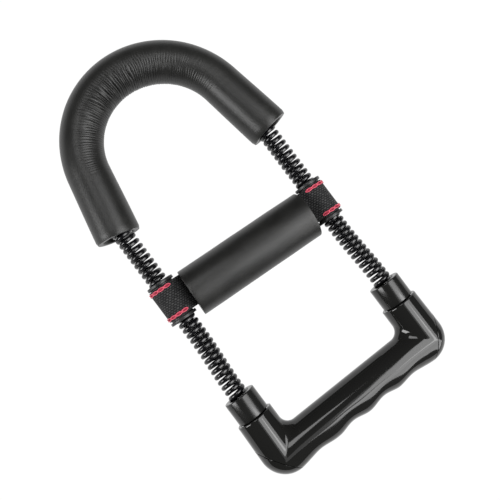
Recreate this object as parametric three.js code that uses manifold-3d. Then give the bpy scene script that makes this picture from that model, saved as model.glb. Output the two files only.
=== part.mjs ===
// Wrist and forearm exerciser: a foam-covered U bend, two long coil-spring legs, a padded
// crossbar that slides on the springs, and a moulded handle with finger grooves.
// Millimetres. X runs across, Y runs from the handle to the U bend, Z is up. It lies flat.
import * as THREE from 'three';
import { mergeVertices } from 'three/addons/utils/BufferGeometryUtils.js';
import Module from 'manifold-3d';

const wasm = await Module();
wasm.setup();

const GAP = 0.3; // clearance between pieces that touch
const rad = THREE.MathUtils.degToRad;

// Springs: one coil per leg, right-handed, the same wire from the handle to the bend.
const SPRING_OD = 14.8;
const WIRE = 3.2;
const PITCH = 4.37;
const LEG_X = 64.1; // half spacing of the legs where the crossbar rides
const SOCKET_X = LEG_X + 2.2; // half spacing at the handle
const COIL_RADIUS = (SPRING_OD - WIRE) / 2;
const COIL_STEPS = 8; // straight stretches in one turn
const SOCKET_Y = 0; // mouth of the handle's collars
const FLEX_LOW_Y = SOCKET_Y + 8; // lowest of the levels where the legs flex
const FLEX_STEP = 2.5 * PITCH;
const FLEX_LEVELS = 5;

// U bend: a foam sleeve over a steel tube. The straight ends splay outward, and the line of
// each one crosses its spring's line inside the sleeve.
const BEND_HALF_ANGLE = rad(79);
const LEG_STRAIGHT = 48.8;
const SLEEVE_END_X = LEG_X + 3.2;
const SLEEVE_END_Y = 139.4;
const BEND_RADIUS = (SLEEVE_END_X - LEG_STRAIGHT * Math.cos(BEND_HALF_ANGLE)) / Math.sin(BEND_HALF_ANGLE);
const BEND_CENTRE_Y = SLEEVE_END_Y + LEG_STRAIGHT * Math.sin(BEND_HALF_ANGLE)
  - BEND_RADIUS * Math.cos(BEND_HALF_ANGLE);
const TUBE_BORE = SPRING_OD + 1.2;
const TUBE_OD = TUBE_BORE + 4;
const TUBE_INSET = 20; // the tube stops this far inside the sleeve
const SLEEVE_OD = TUBE_OD + 12.6;
const SLEEVE_STRETCH = 1.8; // the foam is drawn thinner round the bend by this much
const SLEEVE_TAPER = 70; // distance from each end over which it thins
const SLEEVE_CLEARANCE = 0.5; // the curves are faceted, so a little over the usual gap
const SLEEVE_MOUTH = TUBE_OD / 2 + 1.5; // radius of the free end, below the tube
const BEND_STEP = 9; // length of one straight stretch of the curve

// Crossbar: webbing looped round two spools, with a foam roll over its middle.
const BAR_Y = 78.4;
const BAR_SKEW = Math.tan(rad(2.6)); // the left spool sits nearer the bend
const BAR_FOAM_OD = 36;
const WEB_WIDTH = 25;
const SPOOL_LENGTH = WEB_WIDTH + 6.2;
const SPOOL_FLANGE = 2.2;
const SPOOL_WALL = 0.9;
const SPOOL_FLANGE_OD = SPRING_OD + 5.8;
const BAR_FOAM_LENGTH = 2 * LEG_X - SPOOL_FLANGE_OD - 6.2;
const BAR_FOAM_SHIFT = 0.4; // along the bar
const BAR_FOAM_SAG = 3.35; // the foam hangs off the strap's line, towards the handle
const BAR_SLOT = [WEB_WIDTH / 2 + 0.4, 6.2, 3]; // half width, half height and corner radius
const WEB_THICK = 1.3;
const WEB_PINCH = 15.5; // spool centre to where the two plies meet
const WEB_WRAP = rad(128); // half the angle that the webbing wraps a spool
const STITCH_OFFSET = WEB_WIDTH / 2 - 2.4;
const STITCH_WIDTH = 2;
const STITCH_THICK = 0.5;

// Handle: one moulding with two elbows, a collar in each and a cap on each corner.
const COLLAR_LENGTH = 18;
const COLLAR_SPIGOT_OD = SPRING_OD + 5.2;
const COLLAR_SPIGOT = 13;
const COLLAR_OD = COLLAR_SPIGOT_OD + 4;
const ELBOW_OD = COLLAR_OD + 4;
const GRIP_THICK = ELBOW_OD;
const GRIP_TOP_Y = -36.8;
const GRIP_BOTTOM_Y = GRIP_TOP_Y - GRIP_THICK - 1.4;
const INNER_FILLET = 7.5;
const CORNER_X = SOCKET_X + ELBOW_OD / 2 + 0.7;
const CORNER_Y = GRIP_BOTTOM_Y - 0.8;
const CORNER_RADIUS = 20;
const GRIP_HALF = CORNER_X - CORNER_RADIUS; // half length of the grip's straight outer edge
const GROOVES = [[-0.689, 1.5], [-0.205, 2.4], [0.254, 2.4], [0.689, 1.6]]; // centre / half grip, depth
const GROOVE_WIDTH = 0.459 * GRIP_HALF;
const UNDERSIDE_FLAT = 0.9; // depth of the flat under the grip
const CAP_CUT = [[CORNER_X + 1, CORNER_Y + 31], [CORNER_X - 21, CORNER_Y]]; // cap's parting line

// Fixings inside the handle and the tube.
const STUD_RADIUS = SPRING_OD / 2 - WIRE - 1.3; // spigot inside the spring's end
const ANCHOR_BASE = 8.8;
const SCREW_RADIUS = 3;
const SCREW_HEAD_RADIUS = 5;
const SCREW_HEAD = 4;
const SCREW_SEAT_Y = CORNER_Y + 22.5;
const COUNTERBORE = 5.8;

const FINISH = {
  foam: { color: 0x3c3c3e, roughness: 0.95, metalness: 0 },
  tube: { color: 0x9a9ca0, roughness: 0.35, metalness: 1 },
  spring: { color: 0x2a2a2c, roughness: 0.22, metalness: 0.9 },
  steel: { color: 0xb4b6ba, roughness: 0.3, metalness: 1 },
  spool: { color: 0x2c2c2e, roughness: 0.4, metalness: 0 },
  webbing: { color: 0x18181a, roughness: 0.9, metalness: 0 },
  thread: { color: 0xb82038, roughness: 0.7, metalness: 0 },
  moulding: { color: 0x0e0e10, roughness: 0.12, metalness: 0 },
};

const object = new THREE.Group();
object.name = 'wrist_exerciser';

function piece(name, geometry, finish) {
  const material = new THREE.MeshStandardMaterial(FINISH[finish]);
  material.name = finish;
  const mesh = new THREE.Mesh(geometry, material);
  mesh.name = name;
  object.add(mesh);
  return mesh;
}

// Welds equal vertices and drops the slivers that welding leaves.
function weld(geometry) {
  const bare = geometry.clone();
  bare.deleteAttribute('normal');
  bare.deleteAttribute('uv');
  const merged = mergeVertices(bare, 1e-4);
  const index = merged.index.array;
  const kept = [];
  for (let i = 0; i < index.length; i += 3) {
    const [a, b, c] = [index[i], index[i + 1], index[i + 2]];
    if (a !== b && b !== c && a !== c) kept.push(a, b, c);
  }
  merged.setIndex(kept);
  return merged;
}

function solid(geometry) {
  const merged = weld(geometry);
  return new wasm.Manifold(new wasm.Mesh({
    numProp: 3,
    vertProperties: new Float32Array(merged.attributes.position.array),
    triVerts: new Uint32Array(merged.index.array),
  }));
}

function geometryOf(manifold) {
  const mesh = manifold.getMesh();
  const geometry = new THREE.BufferGeometry();
  geometry.setAttribute('position', new THREE.BufferAttribute(new Float32Array(mesh.vertProperties), 3));
  geometry.setIndex([...mesh.triVerts]);
  geometry.computeVertexNormals();
  return geometry;
}

// A turned piece about the Y axis from [radius, y] pairs.
function turned(profile, segments = 24) {
  const points = profile.map(([r, y]) => new THREE.Vector2(r, y));
  return new THREE.LatheGeometry(points, segments);
}

function cylinder(radius, y0, y1, segments = 24) {
  return turned([[0, y0], [radius, y0], [radius, y1], [0, y1]], segments);
}

function circleShape(radius, sides) {
  const shape = new THREE.Shape();
  for (let i = 0; i < sides; i += 1) {
    const a = (2 * Math.PI * i) / sides;
    if (i === 0) shape.moveTo(radius, 0);
    else shape.lineTo(radius * Math.cos(a), radius * Math.sin(a));
  }
  shape.closePath();
  return shape;
}

function ringShape(outer, inner, sides) {
  const shape = circleShape(outer, sides);
  shape.holes.push(circleShape(inner, sides));
  return shape;
}

// A closed loft through oval rings. Each ring spans two points in the XY plane and is so thick.
function loft(stations, around) {
  const positions = [];
  const index = [];
  stations.forEach(([xi, yi, xo, yo, thick]) => {
    for (let k = 0; k < around; k += 1) {
      const a = (2 * Math.PI * k) / around;
      positions.push(
        (xi + xo) / 2 + ((xo - xi) / 2) * Math.cos(a),
        (yi + yo) / 2 + ((yo - yi) / 2) * Math.cos(a),
        (thick / 2) * Math.sin(a),
      );
    }
  });
  for (let s = 0; s + 1 < stations.length; s += 1) {
    for (let k = 0; k < around; k += 1) {
      const [a, b] = [s * around + k, s * around + ((k + 1) % around)];
      index.push(a, b, a + around, b, b + around, a + around);
    }
  }
  const last = (stations.length - 1) * around;
  for (let k = 1; k + 1 < around; k += 1) {
    index.push(0, k + 1, k, last, last + k, last + k + 1);
  }
  const geometry = new THREE.BufferGeometry();
  geometry.setAttribute('position', new THREE.Float32BufferAttribute(positions, 3));
  geometry.setIndex(index);
  return geometry;
}

// --- U bend -------------------------------------------------------------------------------
// Centreline from the right leg's end over the top to the left leg's end.
class BendLine extends THREE.Curve {
  constructor(inset) {
    super();
    this.straight = LEG_STRAIGHT - inset;
    this.arc = 2 * BEND_HALF_ANGLE * BEND_RADIUS;
    this.arcLengthDivisions = 400;
  }

  getPoint(t, target = new THREE.Vector3()) {
    const s = t * (2 * this.straight + this.arc) - this.straight - this.arc / 2;
    const overshoot = Math.max(0, Math.abs(s) - this.arc / 2);
    const angle = Math.min(Math.abs(s), this.arc / 2) / BEND_RADIUS;
    const x = BEND_RADIUS * Math.sin(angle) + overshoot * Math.cos(angle);
    const y = BEND_CENTRE_Y + BEND_RADIUS * Math.cos(angle) - overshoot * Math.sin(angle);
    return target.set(s < 0 ? x : -x, y, 0);
  }
}

const SPLAY = Math.PI / 2 - BEND_HALF_ANGLE; // angle of the straight ends from Y
const legEnd = new BendLine(0).getPoint(0);

function alongLeg(distance) { // x and y on the right leg's line, measured from the sleeve's end
  return [legEnd.x - distance * Math.sin(SPLAY), legEnd.y + distance * Math.cos(SPLAY)];
}

function sweepBend(shape, inset) {
  const line = new BendLine(inset);
  const steps = Math.round((2 * line.straight + line.arc) / BEND_STEP);
  return new THREE.ExtrudeGeometry(shape, { steps, bevelEnabled: false, extrudePath: line });
}

function sleeveStations() {
  const line = new BendLine(0);
  const length = 2 * line.straight + line.arc;
  const steps = Math.round(length / BEND_STEP);
  return Array.from({ length: steps + 1 }, (_, i) => {
    const t = i / steps;
    const { x, y } = line.getPoint(t);
    const along = line.getTangent(t);
    const thinned = THREE.MathUtils.smoothstep(length * Math.min(t, 1 - t), 0, SLEEVE_TAPER);
    const r = SLEEVE_OD / 2 - (SLEEVE_STRETCH / 2) * thinned;
    return [x + r * along.y, y - r * along.x, x - r * along.y, y + r * along.x, 2 * r];
  });
}

piece('bend_tube', sweepBend(ringShape(TUBE_OD / 2, TUBE_BORE / 2, 16), TUBE_INSET), 'tube');
const sleeveBore = sweepBend(circleShape(TUBE_OD / 2 + SLEEVE_CLEARANCE, 16), -1);
let sleeve = solid(loft(sleeveStations(), 20)).subtract(solid(sleeveBore));
for (const side of [-1, 1]) {
  const mouth = cylinder(SLEEVE_MOUTH, -4, TUBE_INSET - 1);
  mouth.rotateZ(side * SPLAY);
  mouth.translate(side * legEnd.x, legEnd.y, 0);
  sleeve = sleeve.subtract(solid(mouth));
}
piece('bend_foam_sleeve', geometryOf(sleeve), 'foam');

// --- Springs ------------------------------------------------------------------------------
const SPRING_TOP = 33.5; // how far up the leg's line each spring reaches
const PLUG_FACE = SPRING_TOP + WIRE / 2 + SPRING_OD / 2 * Math.sin(SPLAY) + GAP;
const [, springTopY] = alongLeg(SPRING_TOP);
const SPRING_FOOT_Y = SOCKET_Y - COLLAR_LENGTH - COLLAR_SPIGOT + WIRE / 2 + GAP;
const crossY = legEnd.y + (legEnd.x - LEG_X) / Math.tan(SPLAY); // leg line meets the spring line
const BLEND = 8.8;

// Distance of the spring's axis from the middle plane.
function springX(y) {
  const flexTop = FLEX_LOW_Y + (FLEX_LEVELS - 1) * FLEX_STEP;
  if (y < flexTop) {
    return THREE.MathUtils.lerp(SOCKET_X, LEG_X, THREE.MathUtils.smoothstep(y, SOCKET_Y + 4, flexTop));
  }
  if (y < crossY - BLEND) return LEG_X;
  if (y > crossY + BLEND) return LEG_X - (y - crossY) * Math.tan(SPLAY);
  const t = (y - crossY + BLEND) / (2 * BLEND);
  return LEG_X - t * t * BLEND * Math.tan(SPLAY);
}

class Coil extends THREE.Curve {
  constructor(side, y0, y1) {
    super();
    Object.assign(this, { side, y0, y1 });
    this.arcLengthDivisions = Math.ceil(((y1 - y0) / PITCH) * 24);
  }

  getPoint(t, target = new THREE.Vector3()) {
    const y = THREE.MathUtils.lerp(this.y0, this.y1, t);
    const turn = Math.PI / 2 + (2 * Math.PI * (y - FLEX_LOW_Y)) / PITCH;
    return target.set(
      this.side * springX(y) + COIL_RADIUS * Math.sin(turn), y, COIL_RADIUS * Math.cos(turn),
    );
  }
}

// The legs bend at levels where the wire crosses the bending axis, so each stretch between
// two levels is a piece of its own with a hairline gap.
const wirePerY = Math.hypot(2 * Math.PI * COIL_RADIUS, PITCH) / PITCH;
const hairline = (GAP + 0.02) / 2 / wirePerY;
const flexLevels = Array.from({ length: FLEX_LEVELS }, (_, i) => FLEX_LOW_Y + i * FLEX_STEP);
const springCuts = [SPRING_FOOT_Y, ...flexLevels, springTopY];
const SPRING_NAMES = ['lower', 'flex_4', 'flex_3', 'flex_2', 'flex_1', 'upper'];

function coil(side, y0, y1) {
  const turns = (y1 - y0) / PITCH;
  return new THREE.ExtrudeGeometry(circleShape(WIRE / 2, 5), {
    steps: Math.round(turns * COIL_STEPS), bevelEnabled: false, extrudePath: new Coil(side, y0, y1),
  });
}

// --- Handle shape -------------------------------------------------------------------------
// Each station spans from a point on the handle's inner edge to a matching point on its outer
// edge.
function grooveDepth(x) {
  return GROOVES.reduce((sum, [centre, depth]) => {
    const u = (x - centre * GRIP_HALF) / GROOVE_WIDTH;
    return Math.abs(u) < 0.5 ? sum + depth * Math.cos(Math.PI * u) ** 2 : sum;
  }, 0);
}

function handleStations() {
  const { lerp } = THREE.MathUtils;
  const topY = SOCKET_Y - COLLAR_LENGTH;
  const inX = SOCKET_X - ELBOW_OD / 2;
  const filletX = inX - INNER_FILLET;
  const filletY = GRIP_TOP_Y + INNER_FILLET;
  const roundX = GRIP_HALF;
  const roundY = CORNER_Y + CORNER_RADIUS;
  const half = []; // right half, from the elbow's mouth to just short of the middle
  for (let i = 0; i < 4; i += 1) {
    const t = i / 4;
    const outX = lerp(SOCKET_X + ELBOW_OD / 2, CORNER_X, t);
    half.push([inX, lerp(topY, filletY, t), outX, lerp(topY, roundY, t), GRIP_THICK]);
  }
  for (let i = 0; i < 8; i += 1) {
    const a = (Math.PI / 2) * (i / 8);
    half.push([
      filletX + INNER_FILLET * Math.cos(a), filletY - INNER_FILLET * Math.sin(a),
      roundX + CORNER_RADIUS * Math.cos(a), roundY - CORNER_RADIUS * Math.sin(a), GRIP_THICK,
    ]);
  }
  const grip = [];
  const gripSteps = 34;
  for (let i = 0; i <= gripSteps; i += 1) {
    const t = 1 - (2 * i) / gripSteps;
    const x = roundX * t;
    const edge = THREE.MathUtils.smoothstep(Math.abs(t), 0.85, 1);
    const outY = lerp(GRIP_BOTTOM_Y, CORNER_Y, edge) + grooveDepth(x);
    grip.push([filletX * t, GRIP_TOP_Y, x, outY, GRIP_THICK]);
  }
  const left = half.map(([xi, yi, xo, yo, thick]) => [-xi, yi, -xo, yo, thick]).reverse();
  return [...half, ...grip, ...left];
}

// A slab that covers everything beyond the corner cap's parting line.
function beyondCapLine(side, offset) {
  const [[x0, y0], [x1, y1]] = CAP_CUT;
  const slab = new THREE.BoxGeometry(60, 120, 60);
  slab.translate(30 + offset, 0, 0);
  slab.rotateZ(Math.atan2(x1 - x0, y0 - y1));
  slab.translate((x0 + x1) / 2, (y0 + y1) / 2, 0);
  const placed = solid(slab);
  return side > 0 ? placed : placed.mirror([1, 0, 0]);
}

const handleForm = solid(loft(handleStations(), 20));
const flatZ = -(GRIP_THICK / 2 - UNDERSIDE_FLAT);
const flatCut = new THREE.BoxGeometry(2 * GRIP_HALF, 60, 10);
flatCut.translate(0, (GRIP_TOP_Y + GRIP_BOTTOM_Y) / 2, flatZ - 5);

const socketFloorY = SOCKET_Y - COLLAR_LENGTH - COLLAR_SPIGOT - GAP - ANCHOR_BASE;
let handleBody = handleForm.subtract(solid(flatCut));

// --- Crossbar webbing ---------------------------------------------------------------------
const BARREL_RADIUS = SPRING_OD / 2 + GAP + SPOOL_WALL;
const WEB_RADIUS = BARREL_RADIUS + GAP + WEB_THICK / 2;
const PLY_Z = WEB_THICK / 2 + 0.2;

function webContour(offset) {
  const right = [[LEG_X - WEB_PINCH, PLY_Z + offset]];
  const steps = 16;
  for (let i = 0; i <= steps; i += 1) {
    const a = WEB_WRAP * (1 - (2 * i) / steps);
    const r = WEB_RADIUS + offset;
    right.push([LEG_X + r * Math.cos(a), r * Math.sin(a)]);
  }
  right.push([LEG_X - WEB_PINCH, -PLY_Z - offset]);
  const left = right.map(([x, z]) => [-x, z]).reverse();
  return [...right, ...left].map(([x, z]) => new THREE.Vector2(x, z));
}

// Lays a flat outline in the XZ plane, gives it a width along Y and shears it with the bar.
function woven(shape, width, yOffset) {
  const geometry = new THREE.ExtrudeGeometry(shape, { depth: width, steps: 1, bevelEnabled: false });
  geometry.rotateX(Math.PI / 2);
  geometry.translate(0, BAR_Y + yOffset + width / 2, 0);
  const shear = new THREE.Matrix4().set(1, 0, 0, 0, -BAR_SKEW, 1, 0, 0, 0, 0, 1, 0, 0, 0, 0, 1);
  return geometry.applyMatrix4(shear);
}

function stitchShape(side) {
  const inner = WEB_RADIUS + WEB_THICK / 2 + GAP;
  const points = [];
  const steps = 12;
  const reach = WEB_WRAP - rad(8);
  for (let i = 0; i <= steps; i += 1) points.push([inner, reach * (1 - (2 * i) / steps)]);
  for (let i = steps; i >= 0; i -= 1) points.push([inner + STITCH_THICK, reach * (1 - (2 * i) / steps)]);
  return new THREE.Shape(points.map(
    ([r, a]) => new THREE.Vector2(side * (LEG_X + r * Math.cos(a)), r * Math.sin(a)),
  ));
}

const webShape = new THREE.Shape(webContour(WEB_THICK / 2));
webShape.holes.push(new THREE.Path(webContour(-WEB_THICK / 2).reverse()));
piece('crossbar_strap', woven(webShape, WEB_WIDTH, 0), 'webbing');

// The roll's slot hugs the flat strap, so it lies off the roll's own centre.
const rollShape = circleShape(BAR_FOAM_OD / 2, 28);
const [slotX, slotZ, slotRound] = BAR_SLOT;
const slot = new THREE.Path();
for (const [cx, cz, turn] of [[1, 1, 0], [-1, 1, 1], [-1, -1, 2], [1, -1, 3]]) {
  for (let i = 0; i <= 3; i += 1) {
    const a = (Math.PI / 2) * (turn + i / 3);
    const px = BAR_FOAM_SAG + cx * (slotX - slotRound) + slotRound * Math.cos(a);
    const pz = cz * (slotZ - slotRound) + slotRound * Math.sin(a);
    if (turn + i === 0) slot.moveTo(px, pz);
    else slot.lineTo(px, pz);
  }
}
rollShape.holes.push(slot);
const barFoam = new THREE.ExtrudeGeometry(rollShape, {
  depth: BAR_FOAM_LENGTH, steps: 1, bevelEnabled: false,
});
barFoam.translate(0, 0, BAR_FOAM_SHIFT - BAR_FOAM_LENGTH / 2);
barFoam.applyMatrix4(new THREE.Matrix4().set(0, 0, 1, 0, 1, 0, 0, 0, 0, 1, 0, 0, 0, 0, 0, 1));
barFoam.rotateZ(-Math.atan(BAR_SKEW));
barFoam.translate(0, BAR_Y - BAR_FOAM_SAG, 0);
piece('crossbar_foam_roll', barFoam, 'foam');

// --- Pieces that come in pairs ------------------------------------------------------------
for (const [label, side] of [['left', -1], ['right', 1]]) {
  // Steel plug in the tube's end, with a spigot that the spring's last coils are wound over.
  const plug = turned([
    [0, SPRING_TOP - 12], [STUD_RADIUS, SPRING_TOP - 12], [STUD_RADIUS, PLUG_FACE],
    [TUBE_BORE / 2 - GAP, PLUG_FACE], [TUBE_BORE / 2 - GAP, LEG_STRAIGHT - 2],
    [0, LEG_STRAIGHT - 2],
  ]);
  plug.rotateZ(side * SPLAY);
  plug.translate(side * legEnd.x, legEnd.y, 0);
  piece(`upper_spring_plug_${label}`, plug, 'steel');

  SPRING_NAMES.forEach((name, i) => {
    const y0 = springCuts[i] + (i > 0 ? hairline : 0);
    const y1 = springCuts[i + 1] - (i + 1 < SPRING_NAMES.length ? hairline : 0);
    piece(`spring_${label}_${name}`, coil(side, y0, y1), 'spring');
  });

  const spool = turned([
    [SPRING_OD / 2 + GAP, -SPOOL_LENGTH / 2], [SPOOL_FLANGE_OD / 2, -SPOOL_LENGTH / 2],
    [SPOOL_FLANGE_OD / 2, -SPOOL_LENGTH / 2 + SPOOL_FLANGE],
    [BARREL_RADIUS, -SPOOL_LENGTH / 2 + SPOOL_FLANGE],
    [BARREL_RADIUS, SPOOL_LENGTH / 2 - SPOOL_FLANGE],
    [SPOOL_FLANGE_OD / 2, SPOOL_LENGTH / 2 - SPOOL_FLANGE],
    [SPOOL_FLANGE_OD / 2, SPOOL_LENGTH / 2], [SPRING_OD / 2 + GAP, SPOOL_LENGTH / 2],
    [SPRING_OD / 2 + GAP, -SPOOL_LENGTH / 2],
  ]);
  spool.translate(side * LEG_X, BAR_Y - side * LEG_X * BAR_SKEW, 0);
  piece(`spool_${label}`, spool, 'spool');

  for (const [edge, sign] of [['upper', 1], ['lower', -1]]) {
    piece(`stitch_row_${label}_${edge}`,
      woven(stitchShape(side), STITCH_WIDTH, sign * STITCH_OFFSET), 'thread');
  }

  // Collar: the spring stands in it, and its spigot stands in the elbow.
  const collarFoot = SOCKET_Y - COLLAR_LENGTH - COLLAR_SPIGOT;
  const collar = turned([
    [SPRING_OD / 2 + GAP, collarFoot], [COLLAR_SPIGOT_OD / 2, collarFoot],
    [COLLAR_SPIGOT_OD / 2, SOCKET_Y - COLLAR_LENGTH + GAP],
    [COLLAR_OD / 2, SOCKET_Y - COLLAR_LENGTH + GAP],
    [COLLAR_OD / 2, SOCKET_Y - 1], [COLLAR_OD / 2 - 1, SOCKET_Y],
    [SPRING_OD / 2 + GAP, SOCKET_Y], [SPRING_OD / 2 + GAP, collarFoot],
  ], 28);
  collar.translate(side * SOCKET_X, 0, 0);
  piece(`socket_collar_${label}`, collar, 'moulding');

  // Anchor in the socket's floor, held by a screw from under the corner cap.
  const anchorTop = collarFoot - GAP;
  const anchorFoot = socketFloorY + GAP;
  const threadTop = anchorTop - 2;
  const anchor = turned([
    [0, threadTop], [SCREW_RADIUS + GAP, threadTop], [SCREW_RADIUS + GAP, anchorFoot],
    [COLLAR_SPIGOT_OD / 2, anchorFoot], [COLLAR_SPIGOT_OD / 2, anchorTop],
    [STUD_RADIUS, anchorTop], [STUD_RADIUS, anchorTop + 16], [0, anchorTop + 16],
  ]);
  anchor.translate(side * SOCKET_X, 0, 0);
  piece(`lower_spring_anchor_${label}`, anchor, 'steel');

  const screw = turned([
    [0, SCREW_SEAT_Y - GAP - SCREW_HEAD], [SCREW_HEAD_RADIUS, SCREW_SEAT_Y - GAP - SCREW_HEAD],
    [SCREW_HEAD_RADIUS, SCREW_SEAT_Y - GAP], [SCREW_RADIUS, SCREW_SEAT_Y - GAP],
    [SCREW_RADIUS, threadTop - GAP], [0, threadTop - GAP],
  ], 18);
  screw.translate(side * SOCKET_X, 0, 0);
  piece(`retaining_screw_${label}`, screw, 'steel');

  const bores = [
    cylinder(COLLAR_SPIGOT_OD / 2 + GAP, socketFloorY, SOCKET_Y),
    cylinder(SCREW_RADIUS + GAP, SCREW_SEAT_Y - 1, socketFloorY + 1, 18),
    cylinder(COUNTERBORE, CORNER_Y - 10, SCREW_SEAT_Y, 18),
  ];
  for (const bore of bores) {
    bore.translate(side * SOCKET_X, 0, 0);
    handleBody = handleBody.subtract(solid(bore));
  }
  handleBody = handleBody.subtract(beyondCapLine(side, 0));

  const peg = cylinder(COUNTERBORE - GAP - 0.1, CORNER_Y + 8, SCREW_SEAT_Y - SCREW_HEAD - 2, 18);
  peg.translate(side * SOCKET_X, 0, 0);
  const cap = handleForm.intersect(beyondCapLine(side, GAP)).add(solid(peg));
  piece(`corner_cap_${label}`, geometryOf(cap), 'moulding');
}

piece('handle_body', geometryOf(handleBody), 'moulding');

// The object stands on its lowest point, centred on its outline.
const bounds = new THREE.Box3();
for (const mesh of object.children) {
  mesh.geometry.computeBoundingBox();
  bounds.union(mesh.geometry.boundingBox);
}
const middle = bounds.getCenter(new THREE.Vector3());
for (const mesh of object.children) {
  mesh.geometry.translate(-middle.x, -middle.y, -bounds.min.z);
}

export default object;
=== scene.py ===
import math

import bmesh
import bpy
from mathutils import Matrix, Vector, noise


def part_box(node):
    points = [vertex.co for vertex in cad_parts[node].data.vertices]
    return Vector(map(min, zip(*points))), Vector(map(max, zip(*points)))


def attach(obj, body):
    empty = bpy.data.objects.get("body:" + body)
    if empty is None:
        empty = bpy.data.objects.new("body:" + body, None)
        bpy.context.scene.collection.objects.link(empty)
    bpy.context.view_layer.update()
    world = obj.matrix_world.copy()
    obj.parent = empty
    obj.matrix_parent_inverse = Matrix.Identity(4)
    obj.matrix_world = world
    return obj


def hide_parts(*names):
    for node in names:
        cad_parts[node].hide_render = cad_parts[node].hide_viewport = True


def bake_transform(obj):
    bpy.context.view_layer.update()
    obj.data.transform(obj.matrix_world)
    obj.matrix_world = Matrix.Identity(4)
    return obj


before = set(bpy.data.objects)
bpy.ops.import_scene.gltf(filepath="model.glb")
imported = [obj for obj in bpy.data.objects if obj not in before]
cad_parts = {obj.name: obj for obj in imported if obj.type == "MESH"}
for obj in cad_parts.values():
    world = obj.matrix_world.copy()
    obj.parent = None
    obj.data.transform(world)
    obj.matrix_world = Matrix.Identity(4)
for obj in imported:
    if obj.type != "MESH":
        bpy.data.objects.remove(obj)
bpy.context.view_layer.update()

# --- Table, backdrop and studio --------------------------------------------------------------
# The exerciser lies flat on a bright white table and is seen from almost straight above. Big
# softboxes hang round it, so every glossy part carries a few clean bands of light.
scene = bpy.context.scene
scene.view_settings.view_transform = "Standard"

bm = bmesh.new()
bmesh.ops.create_grid(bm, x_segments=2, y_segments=2, size=3.0)
bmesh.ops.translate(bm, verts=bm.verts, vec=(0, 0, -0.002))
table_mesh = bpy.data.meshes.new("table_top")
bm.to_mesh(table_mesh)
bm.free()
table_top = bpy.data.objects.new("table_top", table_mesh)
scene.collection.objects.link(table_top)
white_table = bpy.data.materials.new("lit_white_table")
white_table.use_nodes = True
nodes, links = white_table.node_tree.nodes, white_table.node_tree.links
nodes.clear()
glow = nodes.new("ShaderNodeEmission")
glow.inputs["Color"].default_value = (1, 1, 1, 1)
glow.inputs["Strength"].default_value = 1.03
table_out = nodes.new("ShaderNodeOutputMaterial")
links.new(glow.outputs[0], table_out.inputs["Surface"])
table_mesh.materials.append(white_table)

studio_room = bpy.data.worlds.new("studio_room")
scene.world = studio_room
studio_room.use_nodes = True
nodes, links = studio_room.node_tree.nodes, studio_room.node_tree.links
nodes["Background"].inputs["Color"].default_value = (0.05, 0.05, 0.049, 1)
backdrop = nodes.new("ShaderNodeBackground")
backdrop.inputs["Color"].default_value = (0.97, 0.97, 0.97, 1)
seen = nodes.new("ShaderNodeLightPath")
room_mix = nodes.new("ShaderNodeMixShader")
links.new(seen.outputs["Is Camera Ray"], room_mix.inputs[0])
links.new(nodes["Background"].outputs[0], room_mix.inputs[1])
links.new(backdrop.outputs[0], room_mix.inputs[2])
links.new(room_mix.outputs[0], nodes["World Output"].inputs["Surface"])

camera_data = bpy.data.cameras.new("studio_camera")
camera_data.lens = 45.09
camera_data.sensor_width = 36
camera = bpy.data.objects.new("studio_camera", camera_data)
camera.location = (-0.05842, -0.02123, 0.4639)
camera.rotation_euler = [math.radians(a) for a in (5.3001, -5.6509, -37.0751)]
scene.collection.objects.link(camera)
scene.camera = camera


def softbox(name, place, target, width, length, watts, turn=0.0):
    """A rectangular area light. Its length runs up the page, turned by so many degrees."""
    lamp = bpy.data.lights.new(name, "AREA")
    lamp.shape = "RECTANGLE"
    lamp.size, lamp.size_y = width, length
    lamp.energy = watts
    box = bpy.data.objects.new(name, lamp)
    aim = (Vector(target) - Vector(place)).to_track_quat("-Z", "Y")
    box.rotation_mode = "QUATERNION"
    box.rotation_quaternion = aim @ Matrix.Rotation(math.radians(turn), 3, "Z").to_quaternion()
    box.location = place
    scene.collection.objects.link(box)


softbox("overhead_softbox", (1.42, -0.45, 2.78), (0, 0, 0), 2.1, 2.1, 58)
softbox("overhead_wide", (0.90, -0.55, 2.86), (0, 0, 0), 3.0, 1.5, 12)
softbox("front_softbox", (1.30, -2.05, 1.72), (0, 0, 0), 1.75, 3.3, 84)
softbox("back_softbox", (-0.40, 1.28, 2.66), (0, 0, 0), 1.25, 1.05, 17, 28)
softbox("side_softbox", (-2.62, 0.45, 1.42), (0, 0, 0), 1.3, 1.6, 60)

# --- Coil springs ----------------------------------------------------------------------------
# One long right-handed spring per leg, cold wound from round steel wire and dipped black. Each
# leg bends over a stretch between the handle and the crossbar, so it is made in five lengths.
collar_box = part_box("socket_collar_right")
MOUTH_Y = collar_box[1][1]
WIRE_PLANE = (collar_box[0][2] + collar_box[1][2]) / 2
FRAME_LIFT = Matrix.Translation((0, MOUTH_Y, WIRE_PLANE))
SOCKET_X = 0.0663
LEG_X = 0.0641
SPRING_RADIUS = 0.00578
WIRE_RADIUS = 0.00168
PITCH = 0.00437
FLEX_LOW = 0.008
FLEX_STEP = 2.5 * PITCH
SPLAY = math.radians(11)
SLEEVE_END = Vector((0.0673, 0.1394))
CROSS_Y = SLEEVE_END.y + (SLEEVE_END.x - LEG_X) / math.tan(SPLAY)
SPRING_TOP = SLEEVE_END.y + 0.0335 * math.cos(SPLAY)
SPRING_FOOT = -0.02945


def eased(value, low, high):
    t = min(1.0, max(0.0, (value - low) / (high - low)))
    return t * t * (3 - 2 * t)


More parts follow.
